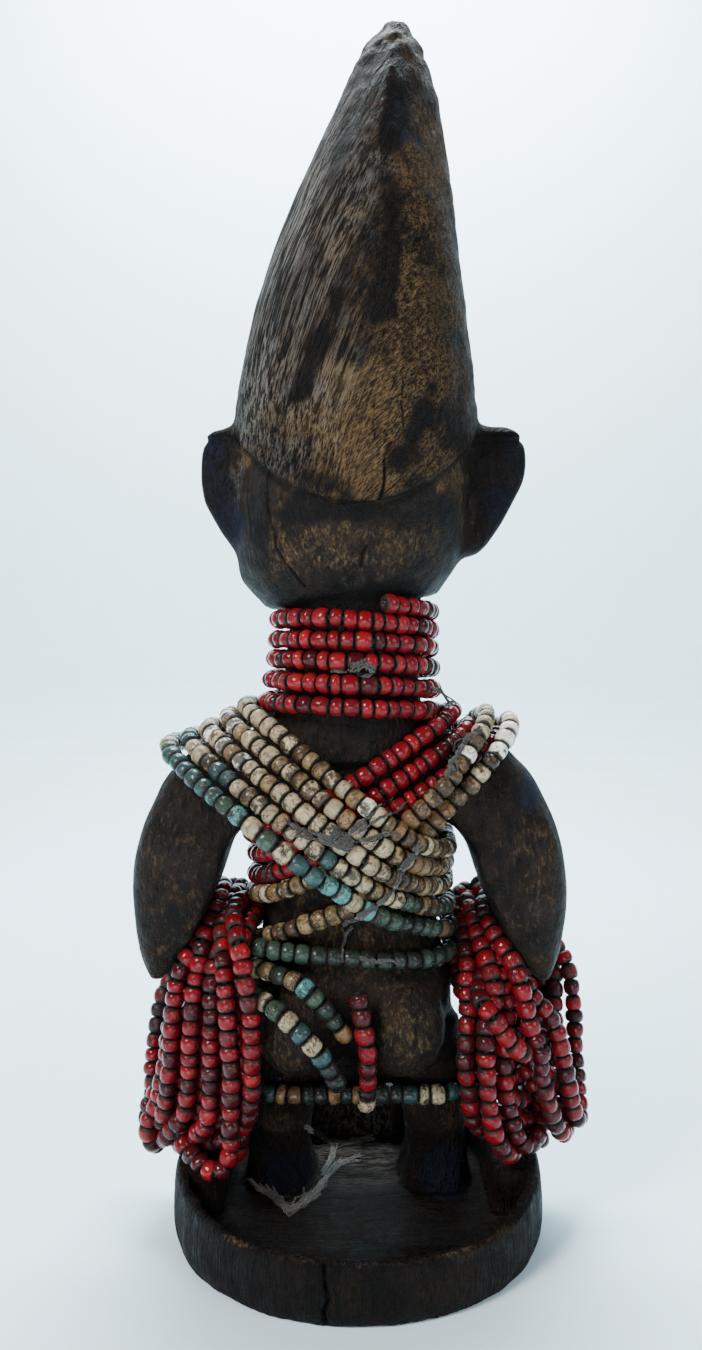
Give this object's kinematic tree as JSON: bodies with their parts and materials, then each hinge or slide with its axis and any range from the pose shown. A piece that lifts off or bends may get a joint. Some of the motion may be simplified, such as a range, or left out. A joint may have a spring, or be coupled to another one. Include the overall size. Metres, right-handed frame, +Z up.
{
  "type": "carved wooden ibeji figure",
  "caption": "Standing ibeji figure carved from one piece of wood, with a tall leaning coiffure and a round dish-like base, wound with strings of glass beads.",
  "frame": {"origin": "centre of the flat underside of the base", "axes": "+Z up along the height, -Y the way the figure faces, +X the figure's own left"},
  "size_m": [0.109, 0.08, 0.281],
  "materials": {
    "wood": "worn and oiled, dark",
    "red_glass": "glossy, opaque",
    "cream_glass": "glossy, opaque",
    "turquoise_glass": "glossy, opaque",
    "green_glass": "glossy, opaque"
  },
  "bodies": {
    "root": {"carved_figure": "wood", "neck_bead_string": "red_glass", "right_shoulder_red_strand_1": "red_glass", "right_shoulder_red_strand_2": "red_glass", "right_shoulder_red_strand_3": "red_glass", "right_shoulder_white_strand_1": "cream_glass", "right_shoulder_white_strand_2": "cream_glass", "left_shoulder_strand_1": "cream_glass", "left_shoulder_strand_2": "cream_glass", "left_shoulder_strand_3": "cream_glass", "left_shoulder_strand_4": "turquoise_glass", "left_shoulder_strand_5": "turquoise_glass", "waist_green_belt": "green_glass", "thigh_strand": "green_glass", "hip_green_strand_1": "green_glass", "hip_green_strand_2": "green_glass", "red_tail": "red_glass", "left_wrist_bead_loops": "red_glass", "right_wrist_bead_loops": "red_glass"}
  },
  "joints": []
}
